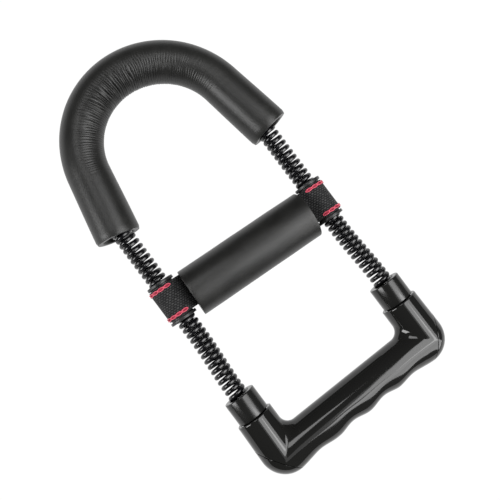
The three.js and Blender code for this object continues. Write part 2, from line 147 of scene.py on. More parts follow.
def leg_axis(y):
    """Distance of a spring's axis from the middle, y metres up from the collars' mouths."""
    bend = 0.0088
    if y < 0.0517:
        return SOCKET_X + (LEG_X - SOCKET_X) * eased(y, 0.004, 0.0517)
    if y < CROSS_Y - bend:
        return LEG_X
    if y > CROSS_Y + bend:
        return LEG_X - (y - CROSS_Y) * math.tan(SPLAY)
    t = (y - CROSS_Y + bend) / (2 * bend)
    return LEG_X - t * t * bend * math.tan(SPLAY)


def finished_piece(name, bm, material, smooth_to=50):
    """Hands a mesh over as an object at the origin, in the frame's metres."""
    bm.transform(FRAME_LIFT)
    for face in bm.faces:
        face.smooth = True
    for edge in bm.edges:
        if len(edge.link_faces) == 2 and edge.calc_face_angle(0) > math.radians(smooth_to):
            edge.smooth = False
    mesh = bpy.data.meshes.new(name)
    bm.to_mesh(mesh)
    bm.free()
    mesh.materials.append(material)
    piece = bpy.data.objects.new(name, mesh)
    scene.collection.objects.link(piece)
    return piece


def finish_with(name, **values):
    """A Principled material with its own sockets set, its nodes and links, and its shader."""
    material = bpy.data.materials.new(name)
    material.use_nodes = True
    bsdf = material.node_tree.nodes["Principled BSDF"]
    for socket, value in values.items():
        bsdf.inputs[socket.replace("_", " ")].default_value = value
    return material, material.node_tree.nodes, material.node_tree.links, bsdf


def group_of(name, ins, outs):
    """An empty shader node group with named inputs, each with its default, and outputs."""
    group = bpy.data.node_groups.new(name, "ShaderNodeTree")
    kinds = {"vector": "NodeSocketVector", "color": "NodeSocketColor", "value": "NodeSocketFloat"}
    for socket, kind, default in ins:
        made = group.interface.new_socket(socket, in_out="INPUT", socket_type=kinds[kind])
        if default is not None:
            made.default_value = default
    for socket, kind in outs:
        group.interface.new_socket(socket, in_out="OUTPUT", socket_type=kinds[kind])
    return group, group.nodes.new("NodeGroupInput"), group.nodes.new("NodeGroupOutput")


def placed_group(nodes, group, **values):
    node = nodes.new("ShaderNodeGroup")
    node.node_tree = group
    for socket, value in values.items():
        node.inputs[socket.replace("_", " ")].default_value = value
    return node


def handled_surface():
    """Faint smears and specks of dust that any handled surface has, and a fine surface grain."""
    group, ins, outs = group_of(
        "handled_surface",
        [("Place", "vector", None), ("Smear size", "value", 60.0), ("Grain size", "value", 900.0),
         ("Smooth", "value", 0.1), ("Smeared", "value", 0.2)],
        [("Roughness", "value"), ("Grain", "value"), ("Dust", "value")])
    nodes, links = group.nodes, group.links
    smear = nodes.new("ShaderNodeTexNoise")
    smear.inputs["Detail"].default_value = 4
    links.new(ins.outputs["Place"], smear.inputs["Vector"])
    links.new(ins.outputs["Smear size"], smear.inputs["Scale"])
    rough = nodes.new("ShaderNodeMapRange")
    rough.inputs["From Min"].default_value = 0.35
    rough.inputs["From Max"].default_value = 0.75
    links.new(smear.outputs["Fac"], rough.inputs["Value"])
    links.new(ins.outputs["Smooth"], rough.inputs["To Min"])
    links.new(ins.outputs["Smeared"], rough.inputs["To Max"])
    links.new(rough.outputs["Result"], outs.inputs["Roughness"])
    grain = nodes.new("ShaderNodeTexNoise")
    grain.inputs["Detail"].default_value = 3
    links.new(ins.outputs["Place"], grain.inputs["Vector"])
    links.new(ins.outputs["Grain size"], grain.inputs["Scale"])
    links.new(grain.outputs["Fac"], outs.inputs["Grain"])
    specks = nodes.new("ShaderNodeTexVoronoi")
    specks.inputs["Scale"].default_value = 420
    links.new(ins.outputs["Place"], specks.inputs["Vector"])
    dots = nodes.new("ShaderNodeMapRange")
    dots.inputs["From Min"].default_value = 0.12
    dots.inputs["From Max"].default_value = 0.03
    links.new(specks.outputs["Distance"], dots.inputs["Value"])
    where = nodes.new("ShaderNodeMapRange")
    where.inputs["From Min"].default_value = 0.58
    where.inputs["From Max"].default_value = 0.72
    links.new(smear.outputs["Fac"], where.inputs["Value"])
    dust = nodes.new("ShaderNodeMath")
    dust.operation = "MULTIPLY"
    links.new(dots.outputs["Result"], dust.inputs[0])
    links.new(where.outputs["Result"], dust.inputs[1])
    links.new(dust.outputs[0], outs.inputs["Dust"])
    return group


HANDLED = handled_surface()


def handled_finish(material, colour, dusty, smooth, smeared, smear_size, grain_size, bump,
                   place="Object", depth=0.00002):
    """Wires the handled surface into a material: dust on its colour, smears and fine grain."""
    material, nodes, links, bsdf = material
    place_node = nodes.new("ShaderNodeTexCoord")
    worn = placed_group(nodes, HANDLED, Smear_size=smear_size, Grain_size=grain_size,
                        Smooth=smooth, Smeared=smeared)
    links.new(place_node.outputs[place], worn.inputs["Place"])
    tint = nodes.new("ShaderNodeMix")
    tint.data_type = "RGBA"
    tint.inputs["A"].default_value = (*colour, 1)
    tint.inputs["B"].default_value = (*dusty, 1)
    links.new(worn.outputs["Dust"], tint.inputs["Factor"])
    links.new(tint.outputs["Result"], bsdf.inputs["Base Color"])
    links.new(worn.outputs["Roughness"], bsdf.inputs["Roughness"])
    height = nodes.new("ShaderNodeBump")
    height.inputs["Strength"].default_value = bump
    height.inputs["Distance"].default_value = depth
    links.new(worn.outputs["Grain"], height.inputs["Height"])
    links.new(height.outputs["Normal"], bsdf.inputs["Normal"])
    return material


def coil_length(side, y0, y1):
    """A stretch of the coil, spun round the leg's axis and then laid along the leg's line."""
    bm = bmesh.new()
    turns = (y1 - y0) / PITCH
    steps = max(4, round(turns * 32))
    bmesh.ops.create_circle(bm, cap_ends=True, segments=12, radius=WIRE_RADIUS)
    lead = math.atan(PITCH / (2 * math.pi * SPRING_RADIUS))
    start = (Matrix.Rotation(2 * math.pi * (y0 - FLEX_LOW) / PITCH, 4, "Y")
             @ Matrix.Translation((SPRING_RADIUS, 0, 0)) @ Matrix.Rotation(lead, 4, "X"))
    bmesh.ops.transform(bm, matrix=start, verts=bm.verts)
    bmesh.ops.spin(bm, geom=bm.faces[:] + bm.edges[:] + bm.verts[:], cent=(0, 0, 0),
                   axis=(0, 1, 0), dvec=(0, (y1 - y0) / steps, 0), angle=2 * math.pi * turns,
                   steps=steps, use_merge=False)
    bmesh.ops.recalc_face_normals(bm, faces=bm.faces[:])
    for vert in bm.verts:
        vert.co.y += y0
        vert.co.x += side * leg_axis(vert.co.y)
    return bm


black_dip = handled_finish(finish_with("black_dipped_wire", IOR=1.55), (0.004, 0.004, 0.005),
                           (0.03, 0.03, 0.03), 0.12, 0.25, 120, 1500, 0.1)
cuts = [SPRING_FOOT] + [FLEX_LOW + (i + 0.5) * FLEX_STEP for i in range(4)] + [SPRING_TOP]
stands_for = [["lower"], ["flex_4"], ["flex_3"], ["flex_2"], ["flex_1", "upper"]]
for label, side in (("left", -1), ("right", 1)):
    for i in range(5):
        coil = finished_piece(f"spring_{label}_length_{i + 1}",
                              coil_length(side, cuts[i], cuts[i + 1]), black_dip)
        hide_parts(*[f"spring_{label}_{part}" for part in stands_for[i]])
        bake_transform(coil)

# --- Foam sleeve of the U bend ---------------------------------------------------------------
# A thick tube of closed-cell rubber foam, pushed over the steel bend. Bending it has packed its
# inner side into fine cross wrinkles, and its ends are cut square and stand open.
BEND_ANGLE = math.radians(79)
LEG_STRAIGHT = 0.0488
BEND_RADIUS = (SLEEVE_END.x - LEG_STRAIGHT * math.cos(BEND_ANGLE)) / math.sin(BEND_ANGLE)
BEND_CENTRE = (SLEEVE_END.y + LEG_STRAIGHT * math.sin(BEND_ANGLE)
               - BEND_RADIUS * math.cos(BEND_ANGLE))
SLEEVE_HALF = LEG_STRAIGHT + BEND_ANGLE * BEND_RADIUS


def bend_point(s):
    """Point and heading on the bend's centreline, s metres from its crown, to the left."""
    over = max(0.0, abs(s) - BEND_ANGLE * BEND_RADIUS)
    a = min(abs(s) / BEND_RADIUS, BEND_ANGLE)
    x = BEND_RADIUS * math.sin(a) + over * math.cos(a)
    y = BEND_CENTRE + BEND_RADIUS * math.cos(a) - over * math.sin(a)
    return Vector((-x if s > 0 else x, y, 0)), (a if s > 0 else -a)


def sleeve_ring(s, radius):
    centre, turned = bend_point(s)
    return (Matrix.Translation(centre) @ Matrix.Rotation(turned, 4, "Z")
            @ Matrix.Rotation(math.radians(90), 4, "Y") @ Matrix.Scale(radius, 4))


def drawn_through(bm, segments, rings, flow=None, closed=True):
    """Draws a round ring of edges through a list of placements, one extrusion after another.

    flow gives each ring a length and a radius on the straight, unbent piece, which the layer
    'straight' keeps for the materials. A closed run joins its last ring to its first.
    """
    layer = bm.verts.layers.float_vector.get("straight") or bm.verts.layers.float_vector.new("straight")
    first = bmesh.ops.create_circle(bm, cap_ends=not closed, segments=segments, radius=1)["verts"]
    for vert in first:
        angle = math.atan2(vert.co.y, vert.co.x)
        vert[layer] = (math.cos(angle), math.sin(angle), 0)
    first_set = set(first)
    edges = [e for v in first for e in v.link_edges if e.other_vert(v) in first_set]
    start_edges = edges = list(dict.fromkeys(edges))
    verts, now = first, Matrix.Identity(4)
    for i, placement in enumerate(rings):
        if i:
            made = bmesh.ops.extrude_edge_only(bm, edges=edges)["geom"]
            verts = [g for g in made if isinstance(g, bmesh.types.BMVert)]
            chosen = set(verts)
            edges = [g for g in made if isinstance(g, bmesh.types.BMEdge)
                     and g.verts[0] in chosen and g.verts[1] in chosen]
        bmesh.ops.transform(bm, matrix=placement @ now.inverted(), verts=verts)
        now = placement
        if flow:
            s, radius = flow[i]
            for vert in verts:
                x, y, _ = Vector(vert[layer]).normalized() if not i else vert[layer]
                n = math.hypot(x, y) or 1.0
                vert[layer] = (x / n * radius, y / n * radius, s)
    if closed:
        bmesh.ops.bridge_loops(bm, edges=start_edges + edges)
    else:
        bmesh.ops.contextual_create(bm, geom=edges)
    bmesh.ops.recalc_face_normals(bm, faces=bm.faces[:])
    return layer


def foam_finish(name, wrinkled):
    """Closed-cell foam: charcoal, mottled, dull with a soft sheen, finely pitted all over, and with painted
    shade in the creases of a wrinkled piece.
    """
    material, nodes, links, bsdf = finish_with(
        name, Roughness=0.5, Sheen_Weight=0.03, Sheen_Roughness=0.4, Sheen_Tint=(0.8, 0.8, 0.82, 1),
        Specular_IOR_Level=0.42)
    straight = nodes.new("ShaderNodeAttribute")
    straight.attribute_name = "straight"
    mottle = nodes.new("ShaderNodeTexNoise")
    mottle.inputs["Scale"].default_value = 90
    mottle.inputs["Detail"].default_value = 5
    tint = nodes.new("ShaderNodeValToRGB")
    tint.color_ramp.elements[0].position, tint.color_ramp.elements[1].position = 0.3, 0.75
    tint.color_ramp.elements[0].color = (0.0078, 0.0078, 0.0073, 1)
    tint.color_ramp.elements[1].color = (0.013, 0.013, 0.0121, 1)
    links.new(straight.outputs["Vector"], mottle.inputs["Vector"])
    links.new(mottle.outputs["Fac"], tint.inputs["Fac"])
    pits = nodes.new("ShaderNodeTexVoronoi")
    pits.inputs["Scale"].default_value = 2400
    links.new(straight.outputs["Vector"], pits.inputs["Vector"])
    rough = nodes.new("ShaderNodeMapRange")
    rough.inputs["To Min"].default_value, rough.inputs["To Max"].default_value = 0.35, 0.43
    links.new(mottle.outputs["Fac"], rough.inputs["Value"])
    links.new(rough.outputs["Result"], bsdf.inputs["Roughness"])
    pitted = nodes.new("ShaderNodeBump")
    pitted.inputs["Strength"].default_value = 0.18
    pitted.inputs["Distance"].default_value = 0.00012
    links.new(pits.outputs["Distance"], pitted.inputs["Height"])
    shade = tint.outputs["Color"]
    if wrinkled:
        # Painted shade: the creases, whose depth the mesh carries as an attribute, get a darker base colour
        # and a cut-back specular.
        crease = nodes.new("ShaderNodeAttribute")
        crease.attribute_name = "crease"
        crease_painted_shade = nodes.new("ShaderNodeMix")
        crease_painted_shade.data_type = "RGBA"
        crease_painted_shade.inputs["B"].default_value = (0.0025, 0.0025, 0.0025, 1)
        links.new(crease.outputs["Fac"], crease_painted_shade.inputs["Factor"])
        links.new(shade, crease_painted_shade.inputs["A"])
        shade = crease_painted_shade.outputs["Result"]
        # Painted shade: the specular fades out towards the bottom of each crease.
        crease_painted_dimming = nodes.new("ShaderNodeMapRange")
        crease_painted_dimming.inputs["To Min"].default_value, crease_painted_dimming.inputs["To Max"].default_value = 0.42, 0.04
        links.new(crease.outputs["Fac"], crease_painted_dimming.inputs["Value"])
        links.new(crease_painted_dimming.outputs["Result"], bsdf.inputs["Specular IOR Level"])
    links.new(shade, bsdf.inputs["Base Color"])
    links.new(pitted.outputs["Normal"], bsdf.inputs["Normal"])
    return material


TUBE_OUTER = 0.0100
MOUTH_RADIUS, DRAWN_THIN, DRAWN_OVER = 0.0163, 0.0009, 0.070
WRINKLE_SPACING, WRINKLE_DEPTH = 0.0019, 0.0006
WRINKLES_MIDDLE, WRINKLES_SPREAD = 4, 57
bm = bmesh.new()
stations = []
fine, coarse = 0.00032, 0.0025
s = -SLEEVE_HALF
outer = []
while s < SLEEVE_HALF - 0.001:
    outer.append(s)
    s += fine if abs(s) < BEND_ANGLE * BEND_RADIUS + 0.004 else coarse
outer.append(SLEEVE_HALF)


def sleeve_radius(s):
    return MOUTH_RADIUS - DRAWN_THIN * eased(SLEEVE_HALF - abs(s), 0, DRAWN_OVER)


edge_round = 0.0007
for s in outer:
    back = max(0.0, edge_round - (SLEEVE_HALF - abs(s)))
    stations.append((s, sleeve_radius(s) - edge_round + math.sqrt(max(0, edge_round ** 2 - back ** 2))))
stations.append((SLEEVE_HALF, 0.0142))
for s, radius in ((SLEEVE_HALF, 0.0122), (SLEEVE_HALF - 0.0006, 0.0116), (SLEEVE_HALF - 0.018, 0.0114)):
    stations.append((s, radius))
for i in range(41):
    stations.append(((SLEEVE_HALF - 0.0185) * (1 - i / 20), TUBE_OUTER + 0.0004))
for s, radius in ((0.018, 0.0114), (0.0006, 0.0116), (0, 0.0122), (0, 0.0142)):
    stations.append((s - SLEEVE_HALF, radius))
drawn_through(bm, 64, [sleeve_ring(s, r) for s, r in stations], stations)
layer = bm.verts.layers.float_vector["straight"]
crease = bm.verts.layers.float.new("crease")
bm.normal_update()
moves = []
for vert in bm.verts:
    across, up, s = vert[layer]
    if math.hypot(across, up) < 0.0150:
        continue
    centre, turned = bend_point(s)
    inward = (Vector((0, BEND_CENTRE, 0)) - centre).normalized()
    inner = inward.dot(vert.co - centre) / 0.0158
    lean = (math.degrees(s / BEND_RADIUS) - WRINKLES_MIDDLE) / WRINKLES_SPREAD
    ragged = 0.22 * noise.noise(Vector((s * 420, 3, 7)))
    amount = eased(inner, -0.40 + ragged, 0.35 + ragged) * math.exp(-lean * lean)
    phase = s / WRINKLE_SPACING + 0.9 * noise.noise(Vector((s * 150, 70 * across, 70 * up)))
    fold = (0.5 + 0.5 * math.cos(2 * math.pi * phase)) ** 2
    fold *= min(1.0, 0.7 + 0.9 * noise.noise(Vector((s * 500, 150 * across, 150 * up + 5))))
    # The crease attribute carries each fold's depth, which the foam's finish turns into painted shade.
    vert[crease] = max(0.0, amount * fold)
    moves.append((vert, vert.normal * amount * WRINKLE_DEPTH * (0.35 - fold)))
for vert, move in moves:
    vert.co += move
sleeve_foam = foam_finish("bend_foam", True)
sleeve = finished_piece("bend_foam_cover", bm, sleeve_foam, 60)
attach(sleeve, "bend_frame")
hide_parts("bend_foam_sleeve")

# --- Foam roll of the crossbar ---------------------------------------------------------------
# A plain length of the same foam, cut square and threaded on the webbing. The forearm rests on
# it, so it hangs a little off the webbing's line, towards the handle.
BAR_Y = 0.0784
BAR_SKEW = math.tan(math.radians(2.6))
ROLL_RADIUS, ROLL_HALF, ROLL_SAG, ROLL_EDGE = 0.018, 0.0507, 0.00335, 0.0005
SLOT_HALF, SLOT_RISE = 0.0129, 0.0062
bar_place = (Matrix.Translation((0.0004, BAR_Y - ROLL_SAG, 0))
             @ Matrix.Rotation(-math.atan(BAR_SKEW), 4, "Z") @ Matrix.Rotation(math.radians(90), 4, "Y"))
bm = bmesh.new()
rings = [(-ROLL_HALF + ROLL_EDGE * (1 - math.cos(math.radians(15 * i))),
          ROLL_RADIUS - ROLL_EDGE + ROLL_EDGE * math.sin(math.radians(15 * i))) for i in range(7)]
rings += [(-ROLL_HALF + ROLL_EDGE + (2 * ROLL_HALF - 2 * ROLL_EDGE) * i / 40, ROLL_RADIUS)
          for i in range(1, 40)]
rings += [(-s, r) for s, r in reversed(rings[:7])]
rings += [(ROLL_HALF - 0.0001, 0.0162), (ROLL_HALF - 0.0003, 0.0140)]
through = [(ROLL_HALF * (1 - i / 10), 0.0130) for i in range(21)]
rings += through + [(-ROLL_HALF + 0.0003, 0.0140), (-ROLL_HALF + 0.0001, 0.0162)]
roll_rings = [bar_place @ Matrix.Translation((0, 0, s)) @ Matrix.Scale(r, 4) for s, r in rings]
drawn_through(bm, 72, roll_rings, rings)
layer = bm.verts.layers.float_vector["straight"]
unplace = bar_place.inverted()
for vert in bm.verts:
    up, across, s = vert[layer]
    radius = math.hypot(up, across)
    if radius < 0.0145:
        # The inner skin keeps to the slot that the webbing runs in.
        a = math.atan2(across, up)
        c, d = math.cos(a), math.sin(a)
        reach = 1 / ((abs(d) / SLOT_HALF) ** 4 + (abs(c) / SLOT_RISE) ** 4) ** 0.25
        grow = 1.0 if radius < 0.0135 else 1.03
        local = Vector((c * reach * grow, d * reach * grow + ROLL_SAG, s))
        vert.co = bar_place @ Vector((local.x, local.y, (unplace @ vert.co).z))
    elif radius > 0.0175:
        dent = 0.00018 * noise.noise(Vector((s * 40, up * 90, across * 90)))
        centre = bar_place @ Vector((0, 0, s))
        vert.co += (vert.co - centre).normalized() * dent
roll_foam = foam_finish("roll_foam", False)
roll = finished_piece("crossbar_foam_cover", bm, roll_foam, 60)
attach(roll, "crossbar")
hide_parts("crossbar_foam_roll")

# --- Spools ----------------------------------------------------------------------------------
# Flanged bobbins moulded in dark plastic, one on each spring. They let the crossbar slide along
# the coils, and the webbing is wound round their barrels.
SPOOL_HALF, FLANGE_RADIUS, FLANGE_THICK = 0.0156, 0.0103, 0.0022
BARREL_RADIUS, BORE_RADIUS = 0.0087, 0.00815
SPOOL_TILT = math.radians(1.6)
spool_plastic = handled_finish(finish_with("spool_plastic", IOR=1.5), (0.012, 0.012, 0.0125),
                               (0.10, 0.10, 0.10), 0.3, 0.5, 140, 2500, 0.3)


def spun(profile, segments, place):
    """Turns a closed profile of (radius, height) corners about its axis."""
    bm = bmesh.new()
    corners = [bm.verts.new((r, 0, h)) for r, h in profile]
    for a, b in zip(corners, corners[1:] + corners[:1]):
        bm.edges.new((a, b))
    bmesh.ops.spin(bm, geom=bm.verts[:] + bm.edges[:], cent=(0, 0, 0), axis=(0, 0, 1),
                   angle=2 * math.pi, steps=segments, use_merge=True)
    bmesh.ops.remove_doubles(bm, verts=bm.verts[:], dist=1e-7)
    bmesh.ops.recalc_face_normals(bm, faces=bm.faces[:])
    bmesh.ops.transform(bm, matrix=place, verts=bm.verts)
    return bm


def softened(bm, width, segments=3, sharper_than=40):
    """Rounds every edge of a mesh that turns more than so many degrees."""
    hard = [e for e in bm.edges if len(e.link_faces) == 2
            and e.calc_face_angle(0) > math.radians(sharper_than)]
    bmesh.ops.bevel(bm, geom=hard, offset=width, offset_type="OFFSET", affect="EDGES",
                    segments=segments, profile=0.5, material=-1, clamp_overlap=True)
    return bm


for label, side in (("left", -1), ("right", 1)):
    lip, low, high = FLANGE_RADIUS, -SPOOL_HALF, SPOOL_HALF
    profile = [(BORE_RADIUS, low), (lip, low), (lip, low + FLANGE_THICK),
               (BARREL_RADIUS, low + FLANGE_THICK), (BARREL_RADIUS, high - FLANGE_THICK),
               (lip, high - FLANGE_THICK), (lip, high), (BORE_RADIUS, high)]
    place = (Matrix.Translation((side * LEG_X, BAR_Y - side * LEG_X * BAR_SKEW, 0))
             @ Matrix.Rotation(-SPOOL_TILT, 4, "Z") @ Matrix.Rotation(math.radians(-90), 4, "X"))
    bobbin = finished_piece(f"spool_bobbin_{label}",
                            softened(spun(profile, 64, place), 0.00035), spool_plastic, 70)
    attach(bobbin, "crossbar")
    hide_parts(f"spool_{label}")

# --- Webbing ---------------------------------------------------------------------------------
# One band of black 25 mm tape with a pebbled basket weave. It loops round both spools, and its
# two plies lie together through the foam roll.
WEB_HALF, WEB_THICK = 0.0125, 0.0013
WEB_RADIUS = BARREL_RADIUS + 0.0002 + WEB_THICK / 2
WEB_PINCH, PLY_GAP = 0.0155, 0.00085
WEB_WRAP = math.radians(128)
loop = [(LEG_X + WEB_RADIUS * math.cos(a), WEB_RADIUS * math.sin(a))
        for a in [WEB_WRAP * (1 - i / 20) for i in range(41)]]
side_run = [(LEG_X - WEB_PINCH, PLY_GAP)]
lead_in = [(side_run[0][0] + (loop[0][0] - side_run[0][0]) * t,
            PLY_GAP + (loop[0][1] - PLY_GAP) * t) for t in (0.15, 0.4, 0.7, 0.9)]
half_loop = side_run + lead_in + loop + [(x, -z) for x, z in reversed(lead_in)]
half_loop += [(side_run[0][0], -PLY_GAP)]
lower = [(side_run[0][0] * (1 - i / 12), -PLY_GAP) for i in range(1, 24)]
path = half_loop + lower + [(-x, z) for x, z in reversed(half_loop)]
path += [(point[0], PLY_GAP) for point in reversed(lower)]
bm = bmesh.new()
layer = bm.verts.layers.float_vector.new("tape")
columns = 14
row = [bm.verts.new((path[0][0], (2 * i / columns - 1) * WEB_HALF, path[0][1]))
       for i in range(columns + 1)]
for i, vert in enumerate(row):
    vert[layer] = (0, (2 * i / columns - 1) * WEB_HALF, 0)
edges = [bm.edges.new(pair) for pair in zip(row, row[1:])]
start, reach = edges, 0.0
for (x0, z0), (x1, z1) in zip(path, path[1:]):
    made = bmesh.ops.extrude_edge_only(bm, edges=edges)["geom"]
    verts = [g for g in made if isinstance(g, bmesh.types.BMVert)]
    chosen = set(verts)
    edges = [g for g in made if isinstance(g, bmesh.types.BMEdge) and set(g.verts) <= chosen]
    bmesh.ops.translate(bm, verts=verts, vec=(x1 - x0, 0, z1 - z0))
    reach += math.hypot(x1 - x0, z1 - z0)
    for vert in verts:
        vert[layer] = (reach, vert[layer][1], 0)
bmesh.ops.bridge_loops(bm, edges=start + edges)
bmesh.ops.recalc_face_normals(bm, faces=bm.faces[:])
bmesh.ops.translate(bm, verts=bm.verts, vec=(0, BAR_Y, 0))
for vert in bm.verts:
    vert.co.y -= vert.co.x * BAR_SKEW
bm.normal_update()
middle = [(vert, vert.normal * (WEB_THICK / 2)) for vert in bm.verts]
for vert, move in middle:
    vert.co += move
bmesh.ops.solidify(bm, geom=bm.faces[:], thickness=WEB_THICK)
bmesh.ops.recalc_face_normals(bm, faces=bm.faces[:])
softened(bm, 0.0003, 2, 60)


def basket_weave():
    """Warp floats in a brick bond over fine weft ribs. Gives height, and a tone that is a painted highlight
    on each pebble's crown, varied thread by thread.
    """
    group, ins, outs = group_of(
        "basket_weave",
        [("Tape", "vector", None), ("Along", "value", 0.0023), ("Across", "value", 0.0015)],
        [("Height", "value"), ("Tone and painted highlight", "value")])
    nodes, links = group.nodes, group.links

    def sum_of(kind, a, b=None):
        node = nodes.new("ShaderNodeMath")
        node.operation = kind
        for i, value in enumerate((a, b)):
            if isinstance(value, (int, float)):
                node.inputs[i].default_value = value
            elif value is not None:
                links.new(value, node.inputs[i])
        return node.outputs[0]

    parts = nodes.new("ShaderNodeSeparateXYZ")
    links.new(ins.outputs["Tape"], parts.inputs[0])
    column = sum_of("DIVIDE", parts.outputs["Y"], ins.outputs["Across"])
    odd = sum_of("MODULO", sum_of("FLOOR", sum_of("ADD", column, 100.0)), 2.0)
    place = sum_of("ADD", sum_of("DIVIDE", parts.outputs["X"], ins.outputs["Along"]),
                   sum_of("MULTIPLY", odd, 0.5))
    along = sum_of("ABSOLUTE", sum_of("SINE", sum_of("MULTIPLY", place, math.pi)))
    across = sum_of("ABSOLUTE", sum_of("SINE", sum_of("MULTIPLY", column, math.pi)))
    pebble = sum_of("POWER", sum_of("MULTIPLY", along, across), 0.6)
    fibre = nodes.new("ShaderNodeTexNoise")
    fibre.inputs["Scale"].default_value = 3000
    links.new(ins.outputs["Tape"], fibre.inputs["Vector"])
    fuzz = sum_of("MULTIPLY", fibre.outputs["Fac"], 0.15)
    links.new(sum_of("ADD", pebble, fuzz), outs.inputs["Height"])
    thread = nodes.new("ShaderNodeTexWhiteNoise")
    thread.noise_dimensions = "2D"
    cell = nodes.new("ShaderNodeCombineXYZ")
    links.new(sum_of("FLOOR", place), cell.inputs[0])
    links.new(sum_of("FLOOR", column), cell.inputs[1])
    links.new(cell.outputs[0], thread.inputs["Vector"])
    # Painted highlight: the crown of each pebble is lightened, scaled by a random tone for each thread.
    lit = sum_of("MULTIPLY", sum_of("POWER", pebble, 2.0),
                 sum_of("ADD", sum_of("MULTIPLY", thread.outputs["Value"], 0.6), 0.4))
    links.new(lit, outs.inputs["Tone and painted highlight"])
    return group


webbing, nodes, links, bsdf = finish_with("black_webbing", Roughness=0.7, Specular_IOR_Level=0.2,
                                          Sheen_Weight=0.04, Sheen_Roughness=0.5)
tape = nodes.new("ShaderNodeAttribute")
tape.attribute_name = "tape"
weave = placed_group(nodes, basket_weave())
links.new(tape.outputs["Vector"], weave.inputs["Tape"])
# The webbing's colour goes from near black to grey, with the painted highlight on the pebbles and the
# random thread tone.
tone_and_painted_highlight = nodes.new("ShaderNodeMix")
tone_and_painted_highlight.data_type = "RGBA"
tone_and_painted_highlight.inputs["A"].default_value = (0.003, 0.003, 0.0035, 1)
tone_and_painted_highlight.inputs["B"].default_value = (0.060, 0.060, 0.060, 1)
links.new(weave.outputs["Tone and painted highlight"], tone_and_painted_highlight.inputs["Factor"])
links.new(tone_and_painted_highlight.outputs["Result"], bsdf.inputs["Base Color"])
woven = nodes.new("ShaderNodeBump")
woven.inputs["Strength"].default_value = 0.8
woven.inputs["Distance"].default_value = 0.0003
links.new(weave.outputs["Height"], woven.inputs["Height"])
links.new(woven.outputs["Normal"], bsdf.inputs["Normal"])
strap = finished_piece("crossbar_webbing", bm, webbing, 60)
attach(strap, "crossbar")
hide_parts("crossbar_strap")

# --- Chain stitches --------------------------------------------------------------------------
# A row of red chain stitch near each edge of the webbing, where it is sewn round the spools.
# Every link is a loop of soft twisted thread, with the next one drawn through it.
STITCH_LINK, STITCH_HALF, STITCH_ROW = 0.0050, 0.00095, 0.0104
THREAD_RADIUS = 0.00034
STITCHES, LOOP_STEPS, LOOP_LENGTH = 9, 18, 0.012
CORE_HALF, CORE_RISE = 0.00052, 0.00025
STITCH_RADIUS = WEB_RADIUS + WEB_THICK / 2 + THREAD_RADIUS * 0.8
pink_thread, nodes, links, bsdf = finish_with("red_thread", Roughness=0.6, Sheen_Weight=0.5,
                                              Sheen_Tint=(1, 0.55, 0.6, 1))
laid = nodes.new("ShaderNodeAttribute")
laid.attribute_name = "straight"
twist = nodes.new("ShaderNodeTexWave")
twist.bands_direction = "DIAGONAL"
twist.inputs["Scale"].default_value = 900
twist.inputs["Distortion"].default_value = 1.5
links.new(laid.outputs["Vector"], twist.inputs["Vector"])
ply = nodes.new("ShaderNodeValToRGB")
ply.color_ramp.elements[0].color = (0.42, 0.025, 0.06, 1)
ply.color_ramp.elements[1].color = (0.78, 0.10, 0.16, 1)
links.new(twist.outputs["Fac"], ply.inputs["Fac"])
links.new(ply.outputs["Color"], bsdf.inputs["Base Color"])
plied = nodes.new("ShaderNodeBump")
plied.inputs["Strength"].default_value = 0.5
plied.inputs["Distance"].default_value = 0.0001
links.new(twist.outputs["Fac"], plied.inputs["Height"])
links.new(plied.outputs["Normal"], bsdf.inputs["Normal"])
dark_thread, nodes, links, bsdf = finish_with("red_thread_in_shade", Roughness=0.7)
deep = nodes.new("ShaderNodeTexNoise")
deep.inputs["Scale"].default_value = 1600
shade = nodes.new("ShaderNodeValToRGB")
shade.color_ramp.elements[0].color = (0.20, 0.006, 0.02, 1)
shade.color_ramp.elements[1].color = (0.42, 0.015, 0.05, 1)
inside = nodes.new("ShaderNodeTexCoord")
links.new(inside.outputs["Object"], deep.inputs["Vector"])
links.new(deep.outputs["Fac"], shade.inputs["Fac"])
links.new(shade.outputs["Color"], bsdf.inputs["Base Color"])
